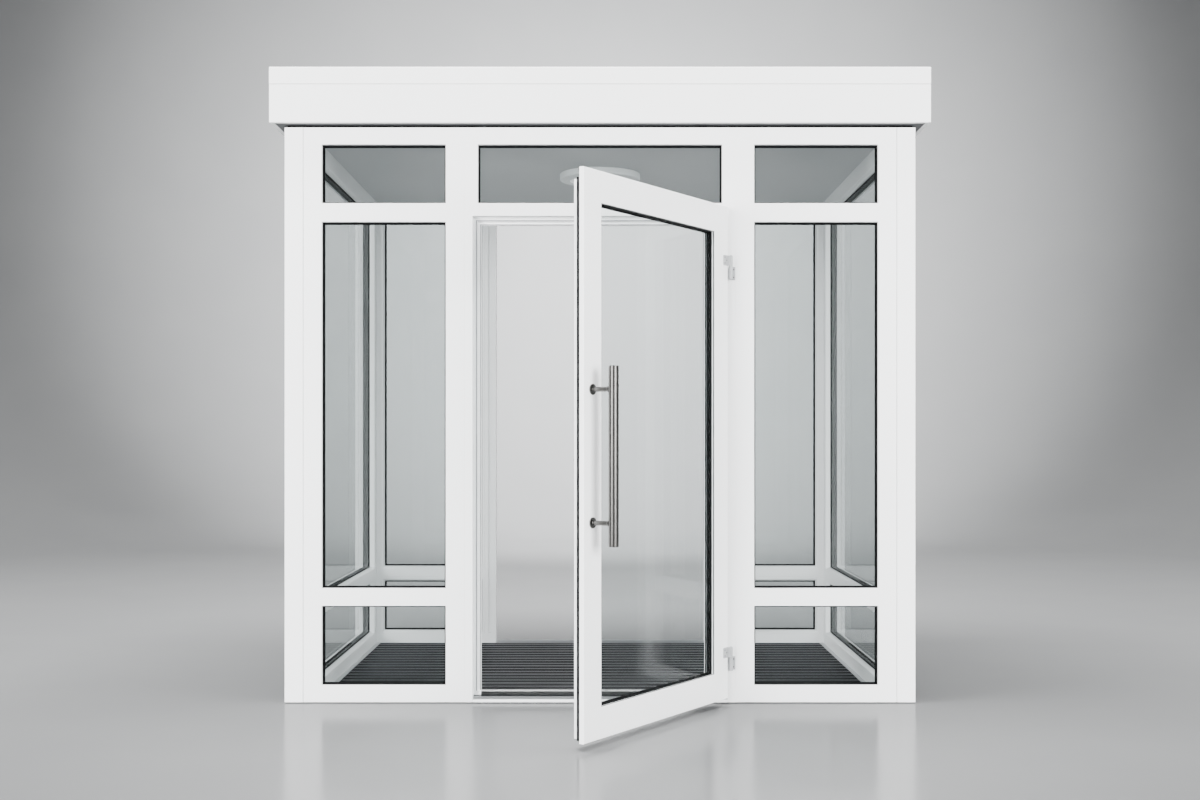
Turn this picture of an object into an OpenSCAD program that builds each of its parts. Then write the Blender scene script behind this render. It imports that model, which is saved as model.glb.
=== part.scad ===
// Glazed entrance vestibule of white window profile, with one outward-opening
// glazed door, a flat boxed roof and a ribbed floor mat. It stands against a
// building, which its open rear leads into.
// Millimetres, +Z up, +Y into the building. The origin is on the floor, at the
// centre of the walls' footprint.

/* [Enclosure] */
// Width over the corner posts
overall_w = 2740; // [2400:10:3400]
// Depth over the front and rear walls
overall_d = 1900; // [1500:10:2600]
// Height of the walls
wall_h = 2500; // [2420:10:3000]
// Depth of every frame profile through the wall
frame_t = 80; // [70:1:100]
// Face width of a corner post
post_w = 80; // [60:1:110]
// Face width of a frame stile
stile_w = 82; // [60:1:110]
// How far the side walls stand back behind the posts' outer faces
side_inset = 40; // [0:1:60]

/* [Front wall] */
// Width between the two front sidelight frames
door_bay_w = 1176; // [1120:2:1300]
// Height of the front bottom rail
front_bottom_h = 78; // [60:1:120]
// Underside of the front lower rail
front_low_z = 422; // [300:1:600]
// Height of the front lower rail
front_low_h = 77; // [60:1:110]
// Underside of the front transom rail
transom_z = 2090; // [2000:1:2200]
// Height of the front transom rail
transom_h = 82; // [60:1:110]
// Height of the front top rail
front_top_h = 74; // [60:1:120]

/* [Side and rear walls] */
// Height of the bottom rail
back_bottom_h = 75; // [60:1:120]
// Underside of the lower rail
back_low_z = 350; // [250:1:600]
// Height of the lower rail
back_low_h = 84; // [60:1:110]
// Height of the top rail
back_top_h = 115; // [80:1:160]
// Width of the open way into the building
rear_opening_w = 1164; // [900:2:1300]
// Height of the rear threshold strip
rear_sill_h = 13; // [8:1:25]
// Width of the channel in each rear jamb
channel_w = 18; // [10:1:30]
// Depth of the channel in each rear jamb
channel_t = 12; // [5:1:25]
// Bottom of the channel in each rear jamb
channel_z = 62; // [30:1:200]

/* [Glazing] */
// Thickness of the outer lip that the glass bears on
lip_t = 22; // [15:1:30]
// How far the glass rebate reaches past the daylight edge
rebate_w = 18; // [12:1:25]
// Thickness of a wall's sealed glass unit
glass_t = 28; // [20:1:36]
// Clearance round a glass unit's edge
glass_gap = 3; // [1:1:6]

/* [Door frame] */
// Face width of the jambs and of the head over the door
jamb_face = 35; // [30:1:60]
// Width of the first stop step
stop1_w = 18; // [12:1:25]
// Width of the second stop step
stop2_w = 15; // [8:1:25]
// Depth at which the first stop starts
stop1_y = 38; // [36:1:48]
// Depth at which the second stop starts
stop2_y = 56; // [52:1:64]
// Underside of the head's face over the door
head_z = 2116; // [2040:1:2160]
// Face width of the fanlight's stiles
fanlight_stile = 58; // [50:1:90]
// Height of the threshold's nose
nose_h = 15; // [10:1:20]
// Height of the threshold's outer step
step_h = 28; // [22:1:32]
// Height of the threshold's inner stop
sill_h = 48; // [44:1:60]
// Set-back of the threshold's outer step from the wall face
step_y = 8; // [4:1:14]

/* [Door leaf] */
// Angle that the leaf stands open
door_open = 57; // [0:0.5:100]
// Gap between the closed leaf and the frame face
leaf_gap = 5; // [5:0.5:8]
// Thickness of the outer flange
flange_t = 20; // [14:1:24]
// Thickness of the body behind the flange
body_t = 35; // [30:1:36]
// Depth of the seal groove in the body's edge
groove_d = 7; // [4:1:10]
// Width of the seal groove in the body's edge
groove_w = 8; // [5:1:10]
// How far the flange passes over the frame face at the sides
flange_over = 9; // [6:1:14]
// Clearance between the body's edge and the jambs
body_gap = 8; // [6:1:12]
// Height of the flange's lower edge
flange_z = 27; // [22:1:32]
// How far the flange passes over the body at the bottom
flange_under = 13; // [8:1:18]
// How far the flange passes over the head
flange_up = 34; // [20:1:40]
// Face width of the leaf's stiles and rails
leaf_face = 120; // [90:1:140]
// Thickness of the leaf's sealed glass unit
leaf_glass_t = 24; // [18:1:28]
// Thickness of the leaf's outer lip
leaf_lip_t = 18; // [14:1:20]

/* [Hinges] */
// Radius of the hinge barrel
barrel_r = 8; // [6:0.5:10]
// Distance of the pin's axis in front of the leaf's outer face
axis_out = 13; // [13:0.5:18]
// Distance of the pin's axis past the leaf's hinge edge
axis_side = 3; // [1:0.5:6]
// Radius of the hinge pin
pin_r = 4; // [3:0.5:5]
// Running clearance round the pin
pin_gap = 0.05; // [0.02:0.01:0.1]
// Heights of the faces where the two halves of each hinge meet
hinge_z = [205, 1894];
// Height of the leaf's half of a hinge
hinge_leaf_h = 44; // [30:1:60]
// Height of the frame's half of a hinge
hinge_frame_h = 58; // [40:1:80]
// Length of the flag on the leaf
flag_w = 46; // [30:1:70]
// Thickness of the flag on the leaf
flag_t = 9; // [7:0.5:13]
// Width of the plate on the jamb
plate_w = 20; // [14:1:20]
// Thickness of the plate and of the arm on it
plate_t = 6; // [4:0.5:6]
// Clearance between the leaf's edge and the plate
plate_gap = 2; // [2:0.5:4]
// Gap between the two halves of a hinge
hinge_gap = 0.5; // [0.3:0.1:1]

/* [Pull handle] */
// Radius of the pull bar
bar_r = 19; // [12:0.5:22]
// Length of the pull bar
bar_h = 665; // [400:5:1200]
// Distance between the two standoffs
standoff_pitch = 494; // [300:1:900]
// Height of the pull bar's middle
bar_z = 1085; // [950:1:1200]
// Distance of the bar's axis from the leaf's outer face
bar_out = 94; // [70:1:120]
// Radius of a standoff
standoff_r = 9; // [6:0.5:12]
// Radius of a rosette
rosette_r = 20.5; // [14:0.5:26]
// Thickness of a rosette
rosette_t = 6; // [3:0.5:10]
// Distance of the handle from the leaf's free edge
bar_in = 57; // [45:1:70]

/* [Lock] */
// Height of the lock cylinder
lock_z = 1070; // [950:1:1200]
// Radius of the cylinder's inner rose
rose_r = 16; // [12:0.5:20]
// Thickness of the cylinder's inner rose
rose_t = 7; // [4:0.5:10]
// Radius of the cylinder
cylinder_r = 8.5; // [7:0.5:10]
// How far the thumb turn stands off the leaf
thumb_out = 24; // [15:1:35]

/* [Roof] */
// Overhang of the roof past the walls
roof_over = 55; // [20:1:120]
// Height of the dark seal between walls and roof
seal_h = 10; // [6:1:16]
// Set-back of the seal behind the walls' outer faces
seal_back = 12; // [6:1:30]
// Thickness of the soffit board
soffit_t = 15; // [10:1:20]
// Height of the lower fascia band
fascia_h = 166; // [120:1:220]
// Height of the upper trim band
trim_h = 74; // [50:1:110]
// Thickness of the fascia boards
fascia_t = 20; // [14:1:30]
// Thickness of the roof deck
deck_t = 18; // [12:1:30]
// Depth of the deck's top face below the trim's top edge
deck_drop = 12; // [0:1:40]
// Thickness of the ceiling panel
ceiling_t = 30; // [18:1:40]

/* [Ceiling light] */
// Diameter of the light
light_d = 400; // [250:5:600]
// Diameter of its diffuser
diffuser_d = 306; // [180:2:500]
// Height of its housing
light_h = 40; // [30:1:80]
// Depth of the recess that holds the diffuser
recess_h = 12; // [6:1:16]
// How far the diffuser stands below the housing
diffuser_out = 4; // [2:1:10]

/* [Floor] */
// Thickness of the floor tray
tray_t = 2; // [2:0.5:5]
// Height of the mat above the tray
mat_t = 6; // [4:0.5:20]
// Width of the mat's edge frame
mat_edge_w = 25; // [15:1:40]

/* [Hidden] */

$fn = 64;
eps = 1;                                  // overshoot of a cutting solid
profile_white = [0.95, 0.95, 0.95];
trim_white = [0.91, 0.91, 0.91];
glass_grey = [0.75, 0.78, 0.8, 0.5];
steel_grey = [0.72, 0.72, 0.72];
dark_grey = [0.15, 0.15, 0.15];

half_w = overall_w / 2;
post_in_x = half_w - post_w;              // inner side of a corner post
bay_x = door_bay_w / 2;                   // outer side of the door bay
side_out_x = half_w - side_inset;         // outer face of a side wall
side_in_x = side_out_x - frame_t;         // inner face of a side wall
half_d = overall_d / 2;
in_y = half_d - frame_t;                  // inner face of the rear wall
side_len = 2 * in_y;                      // length of a side wall
rear_x = rear_opening_w / 2;              // side of the rear opening
bead_t = frame_t - lip_t - glass_t;       // thickness of a wall's glazing bead
ceiling_z = wall_h - ceiling_t;           // underside of the ceiling

// Daylight openings of each wall frame: [left, right, bottom, top]
front_x = [bay_x + stile_w, post_in_x - stile_w];
front_lights = [[front_x[0], front_x[1], front_bottom_h, front_low_z],
                [front_x[0], front_x[1], front_low_z + front_low_h, transom_z],
                [front_x[0], front_x[1], transom_z + transom_h, wall_h - front_top_h]];
back_z = [[back_bottom_h, back_low_z], [back_low_z + back_low_h, wall_h - back_top_h]];
rear_lights = [for (z = back_z) [rear_x + stile_w, post_in_x - stile_w, z[0], z[1]]];
side_lights = [for (z = back_z) [stile_w, side_len - stile_w, z[0], z[1]]];
fan_x = bay_x - fanlight_stile;
fan_lights = [[-fan_x, fan_x, transom_z + transom_h, wall_h - front_top_h]];

// Door opening
jamb_x = bay_x - jamb_face;               // edge of the jamb's face
stop1_x = jamb_x - stop1_w;
stop2_x = stop1_x - stop2_w;

// Door leaf in its closed place, its y counted from the front wall's outer face
leaf_out_y = -leaf_gap - flange_t;        // outer face of the flange
leaf_back_y = -leaf_gap + body_t;         // inner face of the body
flange_x = jamb_x + flange_over;
body_x = jamb_x - body_gap;
flange_top = head_z + flange_up;
body_z = flange_z + flange_under;
body_top = head_z - body_gap + 2;
hinge_x = flange_x + axis_side;
hinge_y = leaf_out_y - axis_out;
leaf_light = [leaf_face - flange_x, flange_x - leaf_face,
              flange_z + leaf_face, flange_top - leaf_face];
handle_x = bar_in - flange_x;

// Roof
roof_z = wall_h + seal_h;
trim_z = roof_z + fascia_h;
roof_top = trim_z + trim_h;
roof_x = half_w + roof_over;
roof_y = half_d + roof_over;
box_x = roof_x - fascia_t;                // inner side of the fascia
box_y = roof_y - fascia_t;

// Floor
mat_x = side_in_x - mat_edge_w;
mat_y = in_y - mat_edge_w;
mat_z = tray_t + mat_t;                   // top of the mat

// A solid from one corner to the opposite one
module block(low, high) translate(low) cube(high - low);

// The right-hand piece, or its mirror image on the left
module on_side(side) mirror([side < 0 ? 1 : 0, 0, 0]) children();

// A box over a daylight opening, grown on all four sides
module light_box(light, grow, y, t)
    translate([light[0] - grow, y, light[2] - grow])
        cube([light[1] - light[0] + 2 * grow, t, light[3] - light[2] + 2 * grow]);

// Cuts each daylight opening and the rebate behind its lip
module light_cuts(lights, lip, depth) {
    for (light = lights) {
        light_box(light, 0, -eps, depth + 2 * eps);
        light_box(light, rebate_w, lip, depth - lip + eps);
    }
}

// A wall frame from x0 to x1, its outer face at y = 0
module wall_frame(x0, x1, z0, lights)
    difference() {
        block([x0, 0, z0], [x1, frame_t, wall_h]);
        light_cuts(lights, lip_t, frame_t);
    }

module panes(lights, y, t) {
    for (light = lights)
        light_box(light, rebate_w - glass_gap, y, t);
}

module bead_rings(lights, y, t) {
    for (light = lights)
        difference() {
            light_box(light, rebate_w, y, t);
            light_box(light, 0, y - eps, t + 2 * eps);
        }
}

// These three move a wall drawn at y = 0 to its place
module to_front_wall() translate([0, -half_d, 0]) children();
module to_side_wall() translate([side_out_x, -in_y, 0]) rotate([0, 0, 90]) children();
module to_rear_wall() translate([0, half_d, 0]) mirror([0, 1, 0]) children();

module corner_post(side, y)
    color(profile_white)
        on_side(side) block([post_in_x, y, 0], [half_w, y + frame_t, wall_h]);

module front_frame(side)
    color(profile_white)
        on_side(side) to_front_wall() wall_frame(bay_x, post_in_x, 0, front_lights);

module side_frame(side)
    color(profile_white)
        on_side(side) to_side_wall() wall_frame(0, side_len, 0, side_lights);

module rear_frame(side)
    color(profile_white)
        on_side(side) difference() {
            to_rear_wall() wall_frame(rear_x, post_in_x, 0, rear_lights);
            translate([rear_x + (stile_w - channel_w) / 2, in_y - eps, channel_z])
                cube([channel_w, channel_t + eps, wall_h]);
        }

module door_jamb(side)
    color(profile_white)
        on_side(side) to_front_wall() {
            block([jamb_x, 0, 0], [bay_x, frame_t, head_z]);
            block([stop1_x, stop1_y, 0], [jamb_x, frame_t, head_z]);
            block([stop2_x, stop2_y, 0], [stop1_x, frame_t, head_z - stop1_w]);
        }

// Head of the doorway, with the fanlight's frame above it
module door_head_fanlight()
    color(profile_white) to_front_wall() {
        wall_frame(-bay_x, bay_x, head_z, fan_lights);
        block([-stop1_x, stop1_y, head_z - stop1_w], [stop1_x, frame_t, head_z]);
        block([-stop2_x, stop2_y, head_z - stop1_w - stop2_w],
              [stop2_x, frame_t, head_z - stop1_w]);
    }

// Stepped sill between the jambs
module threshold()
    color(trim_white) to_front_wall() {
        block([-jamb_x, 0, 0], [jamb_x, stop1_y, nose_h]);
        block([-jamb_x, step_y, 0], [jamb_x, stop1_y, step_h]);
        block([-stop1_x, step_y, 0], [stop1_x, stop2_y, step_h]);
        block([-stop1_x, stop1_y + 2, 0], [stop1_x, stop2_y, sill_h]);
        block([-stop2_x, stop1_y + 2, 0], [stop2_x, frame_t, sill_h]);
    }

module rear_head()
    color(profile_white)
        block([-rear_x, in_y, wall_h - back_top_h], [rear_x, half_d, wall_h]);

module rear_threshold()
    color(steel_grey) block([-rear_x, in_y, 0], [rear_x, half_d, rear_sill_h]);

module glass_front(side)
    color(glass_grey) on_side(side) to_front_wall() panes(front_lights, lip_t, glass_t);

module glass_fanlight()
    color(glass_grey) to_front_wall() panes(fan_lights, lip_t, glass_t);

module glass_side(side)
    color(glass_grey) on_side(side) to_side_wall() panes(side_lights, lip_t, glass_t);

module glass_rear(side)
    color(glass_grey) on_side(side) to_rear_wall() panes(rear_lights, lip_t, glass_t);

// Snap-in beads that hold the glass from inside the vestibule
module glazing_beads()
    color(profile_white) {
        y = lip_t + glass_t;
        to_front_wall() bead_rings(fan_lights, y, bead_t);
        for (side = [-1, 1])
            on_side(side) {
                to_front_wall() bead_rings(front_lights, y, bead_t);
                to_side_wall() bead_rings(side_lights, y, bead_t);
                to_rear_wall() bead_rings(rear_lights, y, bead_t);
            }
    }

module ceiling_panel()
    color(trim_white)
        block([-side_in_x, -in_y, ceiling_z], [side_in_x, in_y, wall_h]);

module light_housing()
    color(profile_white)
        translate([0, 0, ceiling_z - light_h])
            difference() {
                cylinder(d = light_d, h = light_h);
                translate([0, 0, -eps]) cylinder(d = diffuser_d, h = recess_h + eps);
            }

module light_diffuser()
    color("white")
        translate([0, 0, ceiling_z - light_h - diffuser_out])
            cylinder(d = diffuser_d - 0.6, h = recess_h + diffuser_out);

// Dark seal that the roof rests on, in the shadow gap over the walls
module roof_seal()
    color(dark_grey)
        difference() {
            block([seal_back - half_w, seal_back - half_d, wall_h],
                  [half_w - seal_back, half_d - seal_back, roof_z]);
            block([-side_in_x, -in_y, wall_h - eps], [side_in_x, in_y, roof_z + eps]);
        }

module soffit_board()
    color(trim_white) block([-box_x, -box_y, roof_z], [box_x, box_y, roof_z + soffit_t]);

module fascia_long(y)
    color(trim_white) block([-roof_x, y, roof_z], [roof_x, y + fascia_t, trim_z]);

module fascia_short(side)
    color(trim_white)
        on_side(side) block([box_x, -box_y, roof_z], [roof_x, box_y, trim_z]);

// Upper band that caps the fascia all round
module roof_trim()
    color(profile_white)
        difference() {
            block([-roof_x, -roof_y, trim_z], [roof_x, roof_y, roof_top]);
            block([-box_x, -box_y, trim_z - eps], [box_x, box_y, roof_top + eps]);
        }

module roof_deck()
    color(trim_white)
        block([-box_x, -box_y, roof_top - deck_drop - deck_t],
              [box_x, box_y, roof_top - deck_drop]);

module floor_tray()
    color(steel_grey) block([-side_in_x, -in_y, 0], [side_in_x, in_y, tray_t]);

module mat_edge_frame()
    color(steel_grey)
        difference() {
            block([-side_in_x, -in_y, tray_t], [side_in_x, in_y, mat_z]);
            block([-mat_x, -mat_y, tray_t - eps], [mat_x, mat_y, mat_z + eps]);
        }

module entrance_mat()
    color(dark_grey) block([-mat_x, -mat_y, tray_t], [mat_x, mat_y, mat_z]);

// Turns what belongs to the leaf from its closed place to where it stands open
module open_leaf()
    to_front_wall() translate([hinge_x, hinge_y, 0])
        rotate([0, 0, door_open])
            translate([-hinge_x, -hinge_y, 0]) children();

// Flanged leaf frame, with a seal groove round its body's edge
module door_leaf_frame()
    color(profile_white)
        open_leaf() difference() {
            union() {
                block([-flange_x, leaf_out_y, flange_z], [flange_x, -leaf_gap, flange_top]);
                block([groove_d - body_x, -leaf_gap, body_z + groove_d],
                      [body_x - groove_d, groove_w - leaf_gap, body_top - groove_d]);
                block([-body_x, groove_w - leaf_gap, body_z], [body_x, leaf_back_y, body_top]);
            }
            translate([0, leaf_out_y, 0])
                light_cuts([leaf_light], leaf_lip_t, leaf_back_y - leaf_out_y);
        }

module door_leaf_glass()
    color(glass_grey) open_leaf() panes([leaf_light], leaf_out_y + leaf_lip_t, leaf_glass_t);

module door_leaf_beads()
    color(profile_white)
        open_leaf() {
            y = leaf_out_y + leaf_lip_t + leaf_glass_t;
            bead_rings([leaf_light], y, leaf_back_y - y);
        }

// Lower half of each hinge: plate on the jamb, arm, barrel and pin
module hinge_frame_halves()
    color(steel_grey)
        to_front_wall() for (z = hinge_z)
            translate([hinge_x, hinge_y, z - hinge_frame_h]) {
                cylinder(r = barrel_r, h = hinge_frame_h);
                cylinder(r = pin_r, h = hinge_frame_h + hinge_leaf_h + 3);
                translate([plate_gap, 0, 0]) {
                    cube([plate_t, -hinge_y, hinge_frame_h]);
                    translate([0, -hinge_y - plate_t, 0])
                        cube([plate_w, plate_t, hinge_frame_h]);
                }
            }

// Upper half of each hinge: flag on the leaf's outer face and bored barrel
module hinge_leaf_halves()
    color(profile_white)
        open_leaf() for (z = hinge_z)
            translate([hinge_x, hinge_y, z + hinge_gap])
                difference() {
                    union() {
                        cylinder(r = barrel_r, h = hinge_leaf_h);
                        translate([-flag_w, axis_out - flag_t, 0])
                            cube([flag_w, flag_t, hinge_leaf_h]);
                    }
                    translate([0, 0, -eps])
                        cylinder(r = pin_r + pin_gap, h = hinge_leaf_h + 2 * eps);
                }

// Bar on two standoffs, each with a rosette on the leaf's outer face
module pull_handle()
    color(steel_grey)
        open_leaf() translate([handle_x, leaf_out_y, bar_z]) {
            translate([0, -bar_out, -bar_h / 2]) cylinder(r = bar_r, h = bar_h);
            for (z = [-1, 1] * standoff_pitch / 2)
                translate([0, 0, z]) rotate([90, 0, 0]) {
                    cylinder(r = standoff_r, h = bar_out);
                    cylinder(r = rosette_r, h = rosette_t);
                }
        }

// Inner end of the lock: rose, cylinder and thumb turn
module lock_cylinder()
    color(steel_grey)
        open_leaf() translate([handle_x, leaf_back_y, lock_z]) rotate([-90, 0, 0]) {
            cylinder(r = rose_r, h = rose_t);
            cylinder(r = cylinder_r, h = thumb_out - rose_t);
            translate([-cylinder_r, -2, thumb_out - rose_t]) cube([2 * cylinder_r, 4, rose_t]);
        }

corner_post(-1, -half_d);  // post_front_left
corner_post(1, -half_d);  // post_front_right
corner_post(-1, in_y);  // post_rear_left
corner_post(1, in_y);  // post_rear_right
front_frame(-1);  // front_frame_left
front_frame(1);  // front_frame_right
door_jamb(-1);  // door_jamb_left
door_jamb(1);  // door_jamb_right
door_head_fanlight();
threshold();
side_frame(-1);  // side_frame_left
side_frame(1);  // side_frame_right
rear_frame(-1);  // rear_frame_left
rear_frame(1);  // rear_frame_right
rear_head();
rear_threshold();
glass_front(-1);  // glass_front_left
glass_front(1);  // glass_front_right
glass_fanlight();
glass_side(-1);  // glass_side_left
glass_side(1);  // glass_side_right
glass_rear(-1);  // glass_rear_left
glass_rear(1);  // glass_rear_right
glazing_beads();
ceiling_panel();
light_housing();
light_diffuser();
roof_seal();
soffit_board();
fascia_long(-roof_y);  // fascia_front
fascia_long(box_y);  // fascia_rear
fascia_short(-1);  // fascia_left
fascia_short(1);  // fascia_right
roof_trim();
roof_deck();
floor_tray();
mat_edge_frame();
entrance_mat();
hinge_frame_halves();
door_leaf_frame();
door_leaf_glass();
door_leaf_beads();
hinge_leaf_halves();
pull_handle();
lock_cylinder();
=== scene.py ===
import math

import bmesh
import bpy
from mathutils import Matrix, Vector


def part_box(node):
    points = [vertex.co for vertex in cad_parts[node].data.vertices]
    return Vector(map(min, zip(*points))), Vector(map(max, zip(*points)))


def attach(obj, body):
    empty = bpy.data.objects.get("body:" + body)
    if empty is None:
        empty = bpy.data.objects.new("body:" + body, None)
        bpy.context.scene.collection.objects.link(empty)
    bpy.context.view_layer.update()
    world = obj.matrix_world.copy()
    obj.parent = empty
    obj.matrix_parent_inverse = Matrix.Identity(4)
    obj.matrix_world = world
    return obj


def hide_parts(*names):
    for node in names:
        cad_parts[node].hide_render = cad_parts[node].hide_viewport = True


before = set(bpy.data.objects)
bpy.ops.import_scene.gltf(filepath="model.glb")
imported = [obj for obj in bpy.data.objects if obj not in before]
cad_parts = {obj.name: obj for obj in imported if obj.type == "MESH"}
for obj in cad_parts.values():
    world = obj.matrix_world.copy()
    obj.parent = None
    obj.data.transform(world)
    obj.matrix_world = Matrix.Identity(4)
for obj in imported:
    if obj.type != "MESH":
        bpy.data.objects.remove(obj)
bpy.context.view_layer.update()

# ---------------------------------------------------------------- Camera
# A standing viewer's eye, square to the front wall and centred on it. The small
# upward shift keeps the uprights parallel.
front_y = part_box("post_front_left")[0].y          # outer face of the front wall
eye_distance = 6.296                              # from the front wall's outer face
eye_height = 1.155
camera = bpy.data.objects.new("camera", bpy.data.cameras.new("camera"))
bpy.context.scene.collection.objects.link(camera)
camera.location = (0, front_y - eye_distance, eye_height)
camera.rotation_euler = (math.radians(90), 0, 0)
camera.data.lens = 43.5
camera.data.sensor_width = 36
camera.data.shift_y = 0.031
bpy.context.scene.camera = camera

# ---------------------------------------------------------------- Studio floor and backdrop
# A seamless pale studio floor that curves up into a round wall. It is sealed
# concrete paint: matt, with a thin satin layer that mirrors the white frames softly.
floor_radius = 8.6        # where the floor starts to curve up
wall_radius = 11.8
wall_height = 9.5
bowl_turns = 96


def linear(code):
    """An sRGB hex colour as the linear RGBA that a shader takes."""
    values = [int(code[i:i + 2], 16) / 255 for i in (1, 3, 5)]
    return [v / 12.92 if v <= 0.04045 else ((v + 0.055) / 1.055) ** 2.4 for v in values] + [1]


def add(tree, kind, settings=(), links=()):
    """Adds a node, sets its sockets or properties, and links outputs to its sockets."""
    made = tree.nodes.new(kind)
    for key, value in dict(settings).items():
        if isinstance(key, int) or key in made.inputs:
            made.inputs[key].default_value = value
        else:
            setattr(made, key, value)
    for key, source in dict(links).items():
        tree.links.new(source, made.inputs[key])
    return made


def empty_material(name):
    """A material that holds only its output node."""
    made = bpy.data.materials.new(name)
    made.use_nodes = True
    for old in list(made.node_tree.nodes):
        if old.type != "OUTPUT_MATERIAL":
            made.node_tree.nodes.remove(old)
    return made, made.node_tree, made.node_tree.nodes[0]


# Painted concrete, rolled: an even pale grey with faint cloudy patches about half a metre wide
floor_paint, tree, output = empty_material("painted_concrete")
place = add(tree, "ShaderNodeTexCoord")
clouds = add(tree, "ShaderNodeTexNoise", {"Scale": 1.6, "Detail": 3}, {"Vector": place.outputs["Object"]})
tint = add(tree, "ShaderNodeMix", {"data_type": "RGBA", 6: linear("#737475"), 7: linear("#787979")},
           {"Factor": clouds.outputs["Fac"]})
matt = add(tree, "ShaderNodeBsdfDiffuse", {"Roughness": 0.3}, {"Color": tint.outputs[2]})
sheen = add(tree, "ShaderNodeBsdfGlossy", {"Roughness": 0.17, "Color": linear("#FFFFFF")})
height = add(tree, "ShaderNodeSeparateXYZ", {}, {"Vector": place.outputs["Object"]})
share = add(tree, "ShaderNodeMapRange", {"From Min": 0.0, "From Max": 0.4, "To Min": 0.15, "To Max": 0.0},
            {"Value": height.outputs["Z"]})
both = add(tree, "ShaderNodeMixShader", {},
           {"Fac": share.outputs[0], 1: matt.outputs[0], 2: sheen.outputs[0]})
tree.links.new(both.outputs[0], output.inputs["Surface"])

bend = wall_radius - floor_radius
profile = [(3.0, 0.0), (6.0, 0.0)]
profile += [(floor_radius + bend * math.sin(a), bend - bend * math.cos(a))
            for a in [math.radians(90) * i / 16 for i in range(17)]]
profile += [(wall_radius, wall_height)]
bowl = bmesh.new()
angles = [2 * math.pi * i / bowl_turns for i in range(bowl_turns)]
rows = [[bowl.verts.new((r * math.cos(a), r * math.sin(a), z)) for a in angles] for r, z in profile]
centre = bowl.verts.new((0, 0, 0))
for i in range(bowl_turns):
    after = (i + 1) % bowl_turns
    bowl.faces.new((centre, rows[0][i], rows[0][after]))
    for low, high in zip(rows, rows[1:]):
        bowl.faces.new((low[i], high[i], high[after], low[after]))
for face in bowl.faces:
    face.smooth = True
mesh = bpy.data.meshes.new("studio_floor")
bowl.to_mesh(mesh)
bowl.free()
studio_floor = bpy.data.objects.new("studio_floor", mesh)
bpy.context.scene.collection.objects.link(studio_floor)
mesh.materials.append(floor_paint)

# ---------------------------------------------------------------- Studio lights
# A softbox and a fill panel on each side in front, the left pair stronger, one box
# above, weak ones behind and beside, a wash and a glow on the wall, and dim skylight.
front_aim = (0, -0.9, 1.4)
front_size = (4.6, 4.2)
left_stand = (-5.6, -8.2, 2.5)
right_stand = (5.6, -8.2, 2.5)


def softbox(name, place, aim, size, watts, glossy=True, spread=180):
    """A rectangular light, unseen by the camera. glossy says whether shiny surfaces mirror it."""
    data = bpy.data.lights.new(name, "AREA")
    data.spread = math.radians(spread)
    data.shape = "RECTANGLE"
    data.size, data.size_y = size
    data.energy = watts
    made = bpy.data.objects.new(name, data)
    made.location = place
    made.rotation_euler = (Vector(aim) - Vector(place)).to_track_quat("-Z", "Y").to_euler()
    made.visible_camera = False
    made.visible_glossy = glossy
    bpy.context.scene.collection.objects.link(made)


softbox("softbox_left", left_stand, front_aim, front_size, 900)
softbox("softbox_right", right_stand, front_aim, front_size, 1000)
softbox("fill_left", left_stand, front_aim, front_size, 1800, False)
softbox("fill_right", right_stand, front_aim, front_size, 1450, False)
softbox("softbox_top", (-0.5, -0.8, 8.8), (-0.4, -1.2, 0), (5.0, 4.0), 3500, False)
softbox("softbox_back", (2.5, 8.5, 6.4), (0, 0.5, 1.4), (6, 3), 380, False)
softbox("softbox_side_left", (-9, 1.0, 5.6), (0, 0, 1.2), (4, 3), 450, False)
softbox("softbox_side_right", (9, 1.0, 5.6), (0, 0, 1.2), (4, 3), 450, False)
softbox("wall_wash", (0, 5.0, 9.2), (0, 11.4, 2.4), (13, 1.4), 200, False)
softbox("wall_glow", (0, 2.4, 3.2), (0, 11.8, 3.8), (1.6, 1.6), 2000, False, 86)

world = bpy.data.worlds.new("skylight")
world.use_nodes = True
world.node_tree.nodes["Background"].inputs["Color"].default_value = linear("#F4F6FA")
world.node_tree.nodes["Background"].inputs["Strength"].default_value = 0.25
bpy.context.scene.world = world

# ---------------------------------------------------------------- Corner posts
# Four square posts of white uPVC, extruded with rounded arrises over a steel core.
# The wall frames are screwed to them, and the joints show as fine V lines.
MM = 0.001
BASE = 4          # the walls stand this high on a black base seal, in millimetres
arris = 2.5       # radius of the rounded edges that show


def upright(x, y, z):
    """Runs a section drawn in plan upwards."""
    return (x, y, z)


def span(node):
    """Lowest and highest corner of a CAD node, in millimetres."""
    low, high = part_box(node)
    return low / MM, high / MM


def rounded(corners, steps=3):
    """An outline whose corners (u, v, radius) become arcs. Extra items of a corner stay with its points."""
    outline = []
    for i, (u, v, r, *rest) in enumerate(corners):
        here = Vector((u, v))
        if r == 0:
            outline.append((u, v, *rest))
            continue
        before = (Vector(corners[i - 1][:2]) - here).normalized()
        after = (Vector(corners[(i + 1) % len(corners)][:2]) - here).normalized()
        half = before.angle(after) / 2
        middle = here + (before + after).normalized() * r / math.sin(half)
        start = here + before * r / math.tan(half) - middle
        end = here + after * r / math.tan(half) - middle
        first = math.atan2(start.y, start.x)
        turn = (math.atan2(end.y, end.x) - first + math.pi) % (2 * math.pi) - math.pi
        for k in range(steps + 1):
            a = first + turn * k / steps
            outline.append((middle.x + r * math.cos(a), middle.y + r * math.sin(a), *rest))
    return outline


def bar(section, start, end, turn):
    """A closed section run from start to end. turn(u, v, w) gives a point of it in the row frame."""
    count = len(section)
    points = [turn(p[0], p[1], w) for w in (start, end) for p in section]
    faces = [(i, (i + 1) % count, count + (i + 1) % count, count + i) for i in range(count)]
    return points, faces + [tuple(range(count)), tuple(range(2 * count - 1, count - 1, -1))]


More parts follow.
